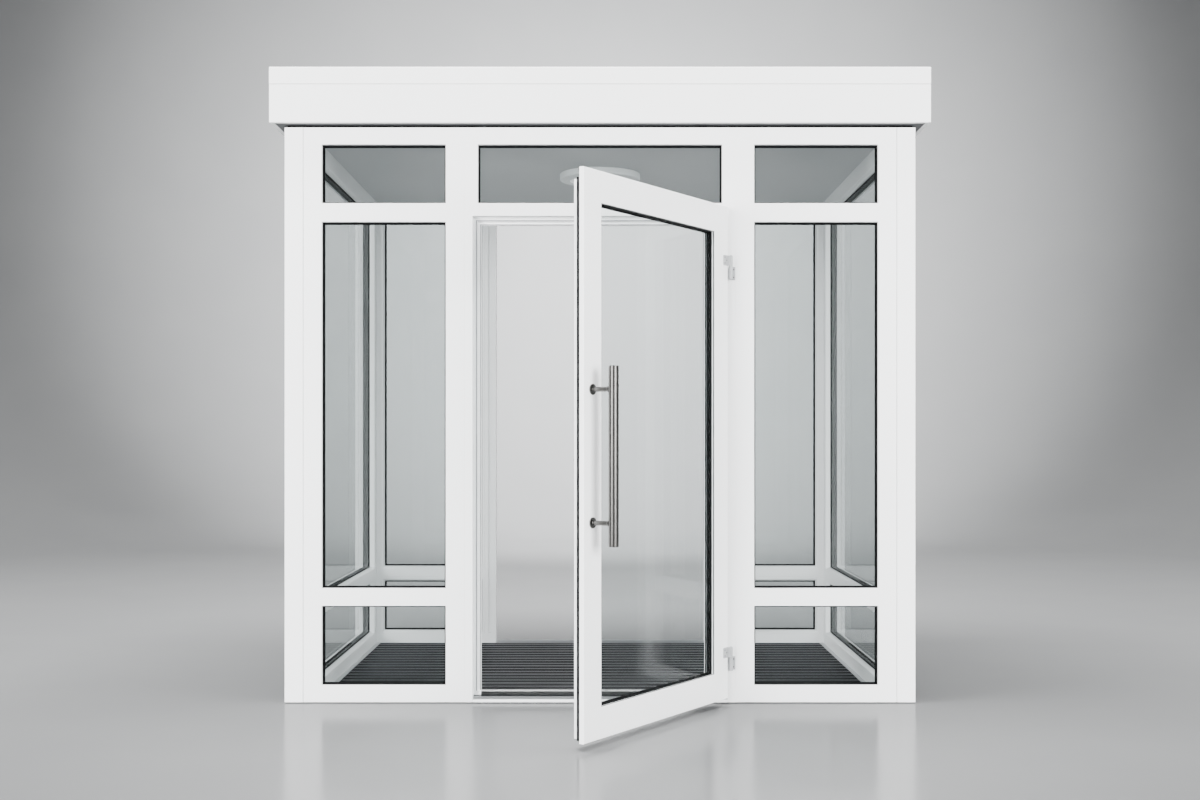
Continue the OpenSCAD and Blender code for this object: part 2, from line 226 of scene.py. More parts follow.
def solid(name, shapes, material, body, slot, *nodes):
    """Joins closed shapes drawn in millimetres into one piece of the object."""
    work = bmesh.new()
    for points, faces in shapes:
        corners = [work.verts.new([c * MM for c in p]) for p in points]
        for face in faces:
            work.faces.new([corners[i] for i in face])
    bmesh.ops.recalc_face_normals(work, faces=work.faces)
    for face in work.faces:
        face.smooth = True
    data = bpy.data.meshes.new(name)
    work.to_mesh(data)
    work.free()
    data.set_sharp_from_angle(angle=math.radians(32))
    made = bpy.data.objects.new(name, data)
    bpy.context.scene.collection.objects.link(made)
    flatten = made.modifiers.new("flat_faces", "WEIGHTED_NORMAL")
    flatten.keep_sharp = True
    view = bpy.context.evaluated_depsgraph_get()
    made.data = bpy.data.meshes.new_from_object(made.evaluated_get(view))
    made.modifiers.clear()
    made.data.name = name
    made.data.materials.clear()
    made.data.materials.append(material)
    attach(made, body)
    if nodes:
        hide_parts(*nodes)
    return made


def coated(name, pale, deep, roughness, patch, grain, depth, ior=1.5, specular=0.5):
    """A smooth coloured surface with cloudy patches and a fine grain, whose sizes are in millimetres."""
    made, tree, output = empty_material(name)
    place = add(tree, "ShaderNodeTexCoord")
    clouds = add(tree, "ShaderNodeTexNoise", {"Scale": 1 / (patch * MM), "Detail": 4},
                 {"Vector": place.outputs["Object"]})
    tint = add(tree, "ShaderNodeMix", {"data_type": "RGBA", 6: linear(pale), 7: linear(deep)},
               {"Factor": clouds.outputs["Fac"]})
    gloss = add(tree, "ShaderNodeMapRange", {"To Min": roughness - 0.04, "To Max": roughness + 0.04},
                {"Value": clouds.outputs["Fac"]})
    fine = add(tree, "ShaderNodeTexNoise", {"Scale": 1 / (grain * MM), "Detail": 2},
               {"Vector": place.outputs["Object"]})
    bump = add(tree, "ShaderNodeBump", {"Strength": 1, "Distance": depth * MM},
               {"Height": fine.outputs["Fac"]})
    shader = add(tree, "ShaderNodeBsdfPrincipled", {"IOR": ior, "Specular IOR Level": specular},
                 {"Base Color": tint.outputs[2], "Roughness": gloss.outputs[0], "Normal": bump.outputs[0]})
    tree.links.new(shader.outputs[0], output.inputs["Surface"])
    return made


# Unplasticised PVC, extruded: cool white, with a satin skin and a very fine ripple from the die
upvc = coated("upvc_extruded", "#F7F8F8", "#F1F2F3", 0.34, 350, 6, 0.010, 1.53)

for corner in ("front_left", "front_right", "rear_left", "rear_right"):
    low, high = span("post_" + corner)
    section = rounded([(low.x, low.y, arris), (high.x, low.y, arris),
                       (high.x, high.y, arris), (low.x, high.y, arris)])
    solid("post_" + corner + "_profile", [bar(section, low.z + BASE, high.z, upright)],
          upvc, "enclosure", "pvc", "post_" + corner)

# ---------------------------------------------------------------- Wall frames
# Each wall panel is a mitred and welded frame of white uPVC profile with rails
# welded across it. A lip outside holds the glass, and the rebate behind takes it.
frame_depth = 80
lip = 22                 # thickness of the lip in front of the glass
rebate = 18              # how far the rebate reaches past the daylight edge
unit = 28                # thickness of a glass unit
glass_at = (lip, lip + unit)
weld_half = 0.35         # half the width of the groove along a weld
overlap = 2.8            # how far a rail's face runs into the stiles, past their rounded arrises


def grown(rect, by):
    """A rectangle (left, right, bottom, top) made wider on every side."""
    return (rect[0] - by, rect[1] + by, rect[2] - by, rect[3] + by)


def ring(rects, corners, turn, weld=0.3):
    """A mitred frame with a fine groove along each weld. Each corner of its section is
    (rectangle, growth of it, depth, radius), and turn(u, depth, v) gives a point in the row frame."""
    nominal = [(1000 * k - grow, depth, r, k) for k, grow, depth, r in corners]
    section = rounded(nominal)
    middle = sum(p[1] for p in section) / len(section)
    points = []
    for u, depth, k in section:
        a, b, c, d = grown(rects[k], 1000 * k - u)
        sunk = weld if depth < middle else -weld
        for x, z, dx, dz in ((a, c, 0, 1), (a, c, 0, 0), (a, c, 1, 0),
                             (b, c, -1, 0), (b, c, 0, 0), (b, c, 0, 1),
                             (b, d, 0, -1), (b, d, 0, 0), (b, d, -1, 0),
                             (a, d, 1, 0), (a, d, 0, 0), (a, d, 0, -1)):
            at_corner = dx == 0 and dz == 0
            points.append(turn(x + dx * weld_half, depth + (sunk if at_corner else 0), z + dz * weld_half))
    count = len(section)
    faces = []
    for i in range(count):
        j = (i + 1) % count
        for k in range(12):
            after = (k + 1) % 12
            faces.append((12 * i + k, 12 * i + after, 12 * j + after, 12 * j + k))
    return points, faces


def wall_frame(outer, lights, turn):
    """The shapes of one wall panel's frame round its daylight openings, from the lowest to the highest."""
    inner = (lights[0][0], lights[0][1], lights[0][2], lights[-1][3])
    shapes = [ring([outer, inner], [(0, 0, frame_depth, 1), (0, 0, 0, 0.8), (1, 0, 0, 2.5), (1, 0, lip, 0),
                                    (1, rebate, lip, 0), (1, rebate, frame_depth, 0.8)], turn)]
    for below, above in zip(lights, lights[1:]):
        low, high = below[3], above[2]

        def along(v, depth, u):
            return turn(u, depth, v)

        face = rounded([(low, 0, 2.5), (high, 0, 2.5), (high, lip, 0), (low, lip, 0)])
        web = rounded([(low + rebate, lip - 1, 0), (high - rebate, lip - 1, 0),
                       (high - rebate, frame_depth, 0.8), (low + rebate, frame_depth, 0.8)])
        shapes.append(bar(face, inner[0] - overlap, inner[1] + overlap, along))
        shapes.append(bar(web, inner[0] - rebate, inner[1] + rebate, along))
    return shapes


left_wall = span("side_frame_left")
right_wall = span("side_frame_right")
rear_y = span("rear_frame_left")[1].y
front = span("front_frame_right")
rear = span("rear_frame_right")
head = span("door_head_fanlight")
front_mm = front[0].y

# Each wall is drawn as seen from outside: u along it, the depth behind its outer face, and the height v


def in_front_wall(u, depth, v):
    return (u, front_mm + depth, v)


def in_front_wall_left(u, depth, v):
    return (-u, front_mm + depth, v)


def in_right_wall(u, depth, v):
    return (right_wall[1].x - depth, right_wall[0].y + u, v)


def in_left_wall(u, depth, v):
    return (left_wall[0].x + depth, left_wall[0].y + u, v)


def in_rear_wall(u, depth, v):
    return (u, rear_y - depth, v)


def in_rear_wall_left(u, depth, v):
    return (-u, rear_y - depth, v)


stile = 82
fan_stile = 58
joint_gap = 2                                            # V joint beside each front post
front_levels = [(78, 422), (499, 2090), (2172, 2426)]    # bottom and top of each daylight opening
back_levels = [(75, 350), (434, 2385)]
front_lights = [(front[0].x + stile, front[1].x - stile, low, high) for low, high in front_levels]
rear_lights = [(rear[0].x + stile, rear[1].x - stile, low, high) for low, high in back_levels]
side_length = right_wall[1].y - right_wall[0].y
side_lights = [(stile, side_length - stile, low, high) for low, high in back_levels]
fan_lights = [(head[0].x + fan_stile, head[1].x - fan_stile, *front_levels[-1])]
front_outer = (front[0].x, front[1].x - joint_gap, BASE, front[1].z)
rear_outer = (rear[0].x, rear[1].x, BASE, rear[1].z)
side_outer = (0, side_length, BASE, right_wall[1].z)
head_bottom = 2116
head_outer = (head[0].x, head[1].x, head_bottom, head[1].z)

solid("front_frame_right_profile", wall_frame(front_outer, front_lights, in_front_wall),
      upvc, "enclosure", "pvc", "front_frame_right")
solid("front_frame_left_profile", wall_frame(front_outer, front_lights, in_front_wall_left),
      upvc, "enclosure", "pvc", "front_frame_left")
solid("side_frame_right_profile", wall_frame(side_outer, side_lights, in_right_wall),
      upvc, "enclosure", "pvc", "side_frame_right")
solid("side_frame_left_profile", wall_frame(side_outer, side_lights, in_left_wall),
      upvc, "enclosure", "pvc", "side_frame_left")

# ---------------------------------------------------------------- Rear frames
# The same profile either side of the open way into the building. A channel is
# routed in the inner face of each jamb and stops short of the floor.
channel_start, channel_end = 26, 44      # from the jamb's edge
channel_deep, channel_lowest = 12, 62
past = 5                                 # how far the router runs clear of the jamb


def cut_out(piece, low, high):
    """Routs a box, given in millimetres, out of a piece."""
    tool_data = bpy.data.meshes.new("router")
    work = bmesh.new()
    bmesh.ops.create_cube(work, size=1)
    for v in work.verts:
        v.co = [(a if c < 0 else b) * MM for a, b, c in zip(low, high, v.co)]
    work.to_mesh(tool_data)
    work.free()
    tool = bpy.data.objects.new("router", tool_data)
    bpy.context.scene.collection.objects.link(tool)
    routed = piece.modifiers.new("routed", "BOOLEAN")
    routed.object = tool
    routed.solver = "EXACT"
    routed.use_self = True
    view = bpy.context.evaluated_depsgraph_get()
    fresh = bpy.data.meshes.new_from_object(piece.evaluated_get(view))
    piece.modifiers.clear()
    piece.data = fresh
    bpy.data.objects.remove(tool)


for side, turn in (("right", in_rear_wall), ("left", in_rear_wall_left)):
    piece = solid("rear_frame_" + side + "_profile", wall_frame(rear_outer, rear_lights, turn),
                  upvc, "enclosure", "pvc", "rear_frame_" + side)
    near = turn(rear[0].x + channel_start, frame_depth + past, channel_lowest)
    far = turn(rear[0].x + channel_end, frame_depth - channel_deep, rear[1].z + past)
    cut_out(piece, [min(a, b) for a, b in zip(near, far)], [max(a, b) for a, b in zip(near, far)])

# ---------------------------------------------------------------- Door frame
# Welded white uPVC: two jambs and a head whose two rebate steps meet in mitres. The fanlight's frame stands on
# the head, and grey seals are pushed into the steps; their grey is partly painted shade in the steps' corners.
jamb_width = 35
jamb_edge = head[1].x - jamb_width
outer_step, inner_step = 18, 33          # how far each rebate step reaches in from the jamb's edge
outer_depth, inner_depth = 38, 56        # where each step starts, behind the outer face
stop_top = 48                            # height of the sill's inner stop


def arch(section, half_width, top, bottom, turn):
    """A section (inward distance, depth) run up one jamb, across the head and down the other, with mitres."""
    points = []
    for s, depth in section:
        x = half_width - s
        points += [turn(-x, depth, bottom), turn(-x, depth, top - s),
                   turn(x, depth, top - s), turn(x, depth, bottom)]
    count = len(section)
    faces = []
    for i in range(count):
        j = (i + 1) % count
        faces += [(4 * i + k, 4 * i + k + 1, 4 * j + k + 1, 4 * j + k) for k in range(3)]
    faces += [tuple(4 * i for i in range(count)), tuple(4 * i + 3 for i in reversed(range(count)))]
    return points, faces


for side, sign in (("left", -1), ("right", 1)):
    low, high = span("door_jamb_" + side)
    edges = sorted((sign * jamb_edge, sign * head[1].x))
    section = rounded([(edges[0], front_mm, 1.5), (edges[1], front_mm, 1.5),
                       (edges[1], high.y, 1), (edges[0], high.y, 1)])
    shapes = [bar(section, BASE, high.z, upright)]
    solid("door_jamb_" + side + "_profile", shapes, upvc, "enclosure", "pvc", "door_jamb_" + side)

steps = rounded([(-1, outer_depth, 0), (outer_step, outer_depth, 1.2), (outer_step, inner_depth, 0.6),
                 (inner_step, inner_depth, 1.2), (inner_step, frame_depth, 1.5), (-1, frame_depth, 0)])
shapes = [ring([head_outer, fan_lights[0]],
               [(0, 0, frame_depth, 1), (0, 0, 0, 0.8), (1, 0, 0, 2.5), (1, 0, lip, 0),
                (1, rebate, lip, 0), (1, rebate, frame_depth, 0.8)], in_front_wall),
          arch(steps, jamb_edge, head_outer[2], 0, in_front_wall)]
solid("door_head_fanlight_profile", shapes, upvc, "enclosure", "pvc", "door_head_fanlight")

# Thermoplastic elastomer, extruded: soft mid grey, matt; the grey lines it draws in the steps' inner corners
# are partly painted shade
step_seal_shade_grey = coated("elastomer_grey_step_shade", "#8E9092", "#85878A", 0.55, 60, 2, 0.02)
bulbs = []
for reach, depth, bulb_radius in ((14.5, 36.6, 2.2), (30.0, 55.0, 1.8)):
    bulb = [(reach + bulb_radius * math.cos(a), depth + bulb_radius * math.sin(a))
            for a in [math.radians(30 * i) for i in range(12)]]
    bulbs.append(arch(bulb, jamb_edge, head_outer[2], stop_top, in_front_wall))
solid("door_frame_seals", bulbs, step_seal_shade_grey, "enclosure", "seal")

# ---------------------------------------------------------------- Threshold
# A low stepped sill between the jambs: a white uPVC nose with an anodised aluminium
# tread on it, a black brush seal, and a white inner stop that meets the rebate steps.
slack = 0.3        # clearance at each end


def along_sill(depth, z, x):
    """Runs a section from left to right."""
    return (x, front_mm + depth, z)


nose = rounded([(2, 0, 0), (2, BASE, 0), (0, BASE, 0), (0, 15, 4), (38, 15, 0), (38, 0, 0)])
stop = rounded([(40, 0, 0), (40, stop_top, 2.5), (62, stop_top, 1), (66, 45, 1),
                (frame_depth, 45, 3), (frame_depth, 0, 0)])
stop_front = rounded([(40, 0, 0), (40, stop_top, 2.5), (55.8, stop_top, 0), (55.8, 0, 0)])
nose_end, stop_end, front_end = [jamb_edge - step - slack for step in (0, inner_step, outer_step)]
shapes = [bar(nose, -nose_end, nose_end, along_sill), bar(stop, -stop_end, stop_end, along_sill),
          bar(stop_front, -front_end, front_end, along_sill)]
solid("threshold_sill", shapes, upvc, "enclosure", "pvc", "threshold")


def brushed(name, pale, deep, roughness, line, across):
    """Metal with fine scratches, line millimetres wide. across stretches them along one axis."""
    made, tree, output = empty_material(name)
    place = add(tree, "ShaderNodeTexCoord")
    spread = add(tree, "ShaderNodeMapping", {"Scale": [a / (line * MM) for a in across]},
                 {"Vector": place.outputs["Object"]})
    lines = add(tree, "ShaderNodeTexNoise", {"Scale": 1, "Detail": 3}, {"Vector": spread.outputs[0]})
    tint = add(tree, "ShaderNodeMix", {"data_type": "RGBA", 6: linear(pale), 7: linear(deep)},
               {"Factor": lines.outputs["Fac"]})
    gloss = add(tree, "ShaderNodeMapRange", {"To Min": roughness - 0.08, "To Max": roughness + 0.08},
                {"Value": lines.outputs["Fac"]})
    bump = add(tree, "ShaderNodeBump", {"Strength": 1, "Distance": 0.02 * MM},
               {"Height": lines.outputs["Fac"]})
    shader = add(tree, "ShaderNodeBsdfPrincipled", {"Metallic": 1},
                 {"Base Color": tint.outputs[2], "Roughness": gloss.outputs[0], "Normal": bump.outputs[0]})
    tree.links.new(shader.outputs[0], output.inputs["Surface"])
    return made


# Aluminium, extruded and anodised: pale satin metal with faint lengthwise lines
anodised = brushed("aluminium_anodised", "#D2D3D5", "#C2C4C6", 0.36, 0.8, (0.01, 1, 1))
tread_end = jamb_edge - 1
tread = rounded([(8, 15.4, 0), (8, 28, 1.5), (33, 27, 1), (33, 15.4, 0)])
solid("threshold_tread", [bar(tread, -tread_end, tread_end, along_sill)], anodised, "enclosure", "aluminium")

# EPDM rubber, extruded: soft black, matt with a faint bloom
epdm = coated("epdm_black", "#101112", "#0A0A0B", 0.65, 90, 1.5, 0.02, specular=0.2)
brush = rounded([(33.6, 16, 0), (33.6, 29, 1), (38.6, 30, 1), (38.6, 16, 0)])
solid("threshold_brush_seal", [bar(brush, -tread_end, tread_end, along_sill)], epdm, "enclosure", "seal")

# ---------------------------------------------------------------- Base seal
# A strip of black EPDM under the walls, sills and posts, compressed by their weight. It is set back from their
# faces, and its fine dark line along the floor is painted shade, standing in for the contact shadow.
set_back = 2
walls_low, walls_high = span("post_front_left")[0], span("post_rear_right")[1]


def on_floor(u, depth, v):
    """Lays a ring flat under the walls, its depth counted downwards."""
    return (u, v, BASE - depth)


under_walls = grown((left_wall[0].x, right_wall[1].x, walls_low.y, walls_high.y), -set_back)
inside_walls = grown((left_wall[1].x, right_wall[0].x, left_wall[0].y, left_wall[1].y), set_back)
strip = [ring([under_walls, inside_walls], [(0, 0, BASE, 0), (0, 0, 0, 0.5), (1, 0, 0, 0.5), (1, 0, BASE, 0)],
              on_floor, 0)]
for corner in ("front_left", "front_right", "rear_left", "rear_right"):
    low, high = span("post_" + corner)
    left, right, near, far = grown((low.x, high.x, low.y, high.y), -set_back)
    pad = rounded([(left, near, 2), (right, near, 2), (right, far, 2), (left, far, 2)])
    strip.append(bar(pad, 0, BASE, upright))
# Its black line along the floor is painted contact shadow.
solid("wall_base_seal_contact_shadow", strip, epdm, "enclosure", "seal")

# ---------------------------------------------------------------- Wall glazing
# Sealed double units: two panes on a black spacer, held between a black gasket on
# the lip and a white snap-in bead inside. Beads are mitred at their corners.
unit_edge = 15           # how far a unit reaches past the daylight edge
pane = 3                 # from a unit's face to its spacer


def unit_shape(light, depths, turn):
    """The block of a sealed glass unit over one daylight opening, with ground edges."""
    a, b, c, d = grown(light, unit_edge)
    near, far = depths
    rows = [(1, near), (0, near + 1), (0, far - 1), (1, far)]
    points = []
    for inset, depth in rows:
        for x, z in ((a + inset, c + inset), (b - inset, c + inset),
                     (b - inset, d - inset), (a + inset, d - inset)):
            points.append(turn(x, depth, z))
    faces = [(0, 1, 2, 3), (15, 14, 13, 12)]
    for i in range(3):
        faces += [(4 * i + k, 4 * i + (k + 1) % 4, 4 * i + 4 + (k + 1) % 4, 4 * i + 4 + k) for k in range(4)]
    return points, faces


def gasket_shapes(light, near, far, turn, width=5.0):
    """The gaskets on each side of the glass, whose outer face is at near and inner one at far."""
    inside = grown(light, -width)
    outside = [(0, 0.5, near, 0), (0, 0.5, near - 5, 0), (1, 0, near - 4, 1.6), (1, 0, near, 0)]
    indoors = [(0, 0.5, far, 0), (0, 0.5, far + 4, 0), (1, 0, far + 3, 1.4), (1, 0, far, 0)]
    return [ring([light, inside], section, turn, 0) for section in (outside, indoors)]


def spacer_shapes(light, near, far, turn, reach=7.0):
    """The spacer frame between the panes, which reaches a little into the daylight."""
    outer = grown(light, 8)
    inner = grown(light, -reach)
    section = [(0, 0, near + pane, 0), (1, 0, near + pane, 1), (1, 0, far - pane, 1), (0, 0, far - pane, 0)]
    return [ring([outer, inner], section, turn, 0)]


def bead_shapes(light, far, inner_face, turn):
    """A snap-in bead between the glass and the frame's inner face."""
    outer = grown(light, rebate - 0.4)
    section = [(0, 0, inner_face, 1), (0, 0, far, 0), (1, 0, far, 0),
               (1, 0, far + (inner_face - far) * 0.4, 3), (1, 8, inner_face, 2.5)]
    return [ring([outer, light], section, turn)]


# Float glass: nearly clear, faintly grey, with a stronger mirror the flatter it is looked along
glass, tree, output = empty_material("float_glass")
facing = add(tree, "ShaderNodeLayerWeight", {"Blend": 0.5})
curve = add(tree, "ShaderNodeMath", {"operation": "POWER", 1: 5.0}, {0: facing.outputs["Facing"]})
mirror = add(tree, "ShaderNodeMapRange", {"To Min": 0.012, "To Max": 0.55}, {"Value": curve.outputs[0]})
through = add(tree, "ShaderNodeBsdfTransparent", {"Color": linear("#F3F5F5")})
gloss = add(tree, "ShaderNodeBsdfGlossy", {"Roughness": 0.0, "Color": linear("#C4C6C6")})
both = add(tree, "ShaderNodeMixShader", {},
           {"Fac": mirror.outputs[0], 1: through.outputs[0], 2: gloss.outputs[0]})
tree.links.new(both.outputs[0], output.inputs["Surface"])

# Warm-edge spacer bar, moulded: dense black, slightly satin
spacer_black = coated("spacer_black", "#0A0A0B", "#050506", 0.8, 80, 2, 0.01, specular=0.1)

walls = [("glass_front_right", front_lights, in_front_wall),
         ("glass_front_left", front_lights, in_front_wall_left), ("glass_fanlight", fan_lights, in_front_wall),
         ("glass_side_right", side_lights, in_right_wall), ("glass_side_left", side_lights, in_left_wall),
         ("glass_rear_right", rear_lights, in_rear_wall), ("glass_rear_left", rear_lights, in_rear_wall_left)]
gaskets, spacers, beads = [], [], []
for node, lights, turn in walls:
    solid(node + "_units", [unit_shape(light, glass_at, turn) for light in lights],
          glass, "enclosure", "glass", node)
    for light in lights:
        gaskets += gasket_shapes(light, glass_at[0], glass_at[1], turn)
        spacers += spacer_shapes(light, glass_at[0], glass_at[1], turn)
        beads += bead_shapes(light, glass_at[1], frame_depth, turn)
solid("wall_gaskets", gaskets, epdm, "enclosure", "seal")
solid("wall_spacers", spacers, spacer_black, "enclosure", "seal")
solid("wall_glazing_beads", beads, upvc, "enclosure", "pvc", "glazing_beads")

# ---------------------------------------------------------------- Rear head and threshold
# A plain uPVC head over the way into the building, and a low ribbed aluminium
# strip screwed to the floor under it.
low, high = span("rear_head")


def across(y, z, x):
    """Runs a section from left to right, its place given in the row frame."""
    return (x, y, z)


section = rounded([(low.y, low.z, 2), (high.y, low.z, 2), (high.y, high.z, 1), (low.y, high.z, 1)])
solid("rear_head_profile", [bar(section, low.x + 0.4, high.x - 0.4, across)],
      upvc, "enclosure", "pvc", "rear_head")

low, high = span("rear_threshold")
ribs = 9
margin = 12               # from the strip's edge to its first rib
valley = high.z - 1.2
corners = [(low.y, low.z, 0), (low.y, low.z + 4, 1), (low.y + 9, valley, 1)]
for i in range(ribs):
    y = low.y + margin + (high.y - low.y - 2 * margin) * i / (ribs - 1)
    corners += [(y - 2.2, valley, 0), (y - 1.2, high.z, 0.4), (y + 1.2, high.z, 0.4), (y + 2.2, valley, 0)]
corners += [(high.y - 9, valley, 1), (high.y, low.z + 4, 1), (high.y, low.z, 0)]
solid("rear_threshold_strip", [bar(rounded(corners, 2), low.x + 0.5, high.x - 0.5, across)],
      anodised, "enclosure", "aluminium", "rear_threshold")

# ---------------------------------------------------------------- Ceiling
# A smooth PVC-faced panel with softened edges, laid on the wall frames. It is lit
# mostly by what the floor and the frames throw back.


def slab(low, high, radius, segments=2):
    """A board from one corner to the opposite one, its edges rounded."""
    work = bmesh.new()
    bmesh.ops.create_cube(work, size=1)
    for v in work.verts:
        v.co = [a if c < 0 else b for a, b, c in zip(low, high, v.co)]
    bmesh.ops.bevel(work, geom=work.edges[:], offset=radius, segments=segments, profile=0.5, affect="EDGES")
    work.verts.index_update()
    points = [tuple(v.co) for v in work.verts]
    faces = [tuple(v.index for v in f.verts) for f in work.faces]
    work.free()
    return points, faces


# PVC laminate, pressed: pale grey, matt, with a faint leathery grain
laminate = coated("pvc_laminate", "#D2D3D4", "#CBCCCD", 0.5, 500, 3, 0.03)
low, high = span("ceiling_panel")
solid("ceiling_panel_board", [slab(low, high, 1.5)], laminate, "enclosure", "pvc", "ceiling_panel")

# ---------------------------------------------------------------- Ceiling light
# A round surface-mounted light: a spun steel housing, powder coated white, with a
# shallow opal acrylic diffuser pressed into its recess.


def lathe(profile, turn, turns=64):
    """A profile (radius, height) turned round an axis. Both ends lie on the axis."""
    points, faces = [turn(0, 0, profile[0][1])], []
    rows = profile[1:-1]
    for r, h in rows:
        points += [turn(r * math.cos(2 * math.pi * i / turns), r * math.sin(2 * math.pi * i / turns), h)
                   for i in range(turns)]
    points.append(turn(0, 0, profile[-1][1]))
    last = len(points) - 1
    for i in range(turns):
        after = (i + 1) % turns
        faces.append((0, 1 + after, 1 + i))
        for k in range(len(rows) - 1):
            a, b = 1 + k * turns, 1 + (k + 1) * turns
            faces.append((a + i, a + after, b + after, b + i))
        a = 1 + (len(rows) - 1) * turns
        faces.append((a + i, a + after, last))
    return points, faces


# Steel, powder coated: white with a fine orange-peel skin
powder = coated("powder_coat_white", "#F2F3F3", "#ECEDEE", 0.38, 200, 2.2, 0.03)
low, high = span("light_housing")
radius = (high.x - low.x) / 2
centre = (low + high) / 2
drop = high.z - low.z
inner_radius = 153


def under_ceiling(x, y, h):
    """Hangs a turned shape from the ceiling, its heights counted downwards."""
    return (centre.x + x, centre.y + y, high.z - h)


rim = rounded([(radius - 4, 0, 0), (radius, 3, 2), (radius, drop - 8, 7), (inner_radius + 3, drop, 2),
               (inner_radius, drop - 1, 0.5), (inner_radius, drop - 12, 0.5)], 4)
solid("light_housing_shell", [lathe([(0, 0)] + rim + [(0, drop - 12)], under_ceiling)],
      powder, "enclosure", "white_steel", "light_housing")

# Opal acrylic, vacuum formed: milky white, softly lit from behind
opal, tree, output = empty_material("opal_acrylic")
place = add(tree, "ShaderNodeTexCoord")
clouds = add(tree, "ShaderNodeTexNoise", {"Scale": 14, "Detail": 2}, {"Vector": place.outputs["Object"]})
tint = add(tree, "ShaderNodeMix", {"data_type": "RGBA", 6: linear("#FFFFFF"), 7: linear("#F6F7F8")},
           {"Factor": clouds.outputs["Fac"]})
shader = add(tree, "ShaderNodeBsdfPrincipled", {"Roughness": 0.28, "IOR": 1.49, "Emission Strength": 0.35},
             {"Base Color": tint.outputs[2], "Emission Color": tint.outputs[2]})
tree.links.new(shader.outputs[0], output.inputs["Surface"])
low_d, high_d = span("light_diffuser")
face_radius = (high_d.x - low_d.x) / 2
dome = [(0, high.z - high_d.z), (face_radius, high.z - high_d.z)]
dome += [(face_radius * math.cos(a), high.z - low_d.z - 10 + 10 * math.sin(a))
         for a in [math.radians(90) * i / 10 for i in range(10)]]
dome += [(0, high.z - low_d.z)]
solid("light_diffuser_dome", [lathe(dome, under_ceiling)], opal, "enclosure", "opal", "light_diffuser")

# ---------------------------------------------------------------- Roof
# A flat boxed roof on a black foam seal: a soffit board painted dark grey as the shade under the overhang,
# folded white aluminium fascias, a capping trim mitred at the corners, and a grey membrane on the deck.


def in_plan(top):
    """Turns a ring drawn in plan, its depth counted downwards from top."""
    def turn(u, depth, v):
        return (u, v, top - depth)
    return turn


low, high = span("roof_seal")
side_in = (left_wall[1].x, right_wall[0].x, left_wall[0].y, left_wall[1].y)
seal_ring = ring([(low.x, high.x, low.y, high.y), side_in],
                 [(0, 0, 10, 1), (0, 0, 0, 1), (1, 0, 0, 0.5), (1, 0, 10, 0.5)], in_plan(high.z), 0)
solid("roof_foam_seal", [seal_ring], epdm, "enclosure", "seal", "roof_seal")

# Aluminium composite board, matt: its dark grey is painted shade, standing in for the shadow under the roof's
# overhang
soffit_shade_grey = coated("composite_board_painted_shade", "#4A4C4E", "#434547", 0.5, 300, 2.5, 0.03)
low, high = span("soffit_board")
solid("soffit_board_panel", [slab(low, high, 1.5)], soffit_shade_grey, "enclosure", "fascia", "soffit_board")

# Aluminium sheet, folded and powder coated: satin white, flat, with a fine orange-peel skin
sheet_white = coated("aluminium_sheet_coated", "#F1F2F2", "#ECEDED", 0.36, 600, 2.5, 0.03)
for side in ("front", "rear", "left", "right"):
    low, high = span("fascia_" + side)
    solid("fascia_" + side + "_sheet", [slab((low.x, low.y, low.z), (high.x, high.y, high.z - 1.2), 1.8, 3)],
          sheet_white, "enclosure", "fascia", "fascia_" + side)

low, high = span("roof_trim")
outer = (low.x, high.x, low.y, high.y)
inner = grown(outer, -20)      # width of the trim seen from above
tall = high.z - low.z
section = [(0, 0, tall - 0.5, 1.5), (0, 0, 0, 4), (1, 0, 3, 3), (1, 0, tall, 1)]
cap = ring([outer, inner], section, in_plan(high.z))
solid("roof_trim_cap", [cap], sheet_white, "enclosure", "fascia", "roof_trim")

# Plasticised PVC roofing membrane, calendered: mid grey, matt, with lapped and welded seams
membrane = coated("roofing_membrane", "#8C8E90", "#7E8082", 0.6, 260, 2.5, 0.08)
low, high = span("roof_deck")
shapes = [slab(low, high, 2)]
for x in (-475, 475):      # two laps across the deck
    lap_low, lap_high = (x - 30, low.y + 4, high.z - 1), (x + 30, high.y - 4, high.z + 1.6)
    shapes.append(slab(lap_low, lap_high, 0.7, 1))
solid("roof_deck_membrane", shapes, membrane, "enclosure", "membrane", "roof_deck")

# ---------------------------------------------------------------- Floor tray and mat
# A shallow aluminium tray with an angle frame round it. In it lies an entrance mat:
# charcoal ribbed rubber strips on carriers, with an aluminium scraper on every third.
low, high = span("floor_tray")
solid("floor_tray_sheet", [slab(low, high, 0.6, 1)], anodised, "enclosure", "aluminium", "floor_tray")

low, high = span("mat_edge_frame")
outer = (low.x, high.x, low.y, high.y)
mat_low, mat_high = span("entrance_mat")
inner = (mat_low.x, mat_high.x, mat_low.y, mat_high.y)
rise = high.z - low.z
section = [(0, 0, rise, 0), (0, 0, 2.5, 0.8), (1, 6, 0, 1.2), (1, 0, 0, 0.8), (1, 0, rise, 0)]
edge = ring([outer, inner], section, in_plan(high.z), 0.2)
solid("mat_edge_angle", [edge], anodised, "enclosure", "aluminium", "mat_edge_frame")

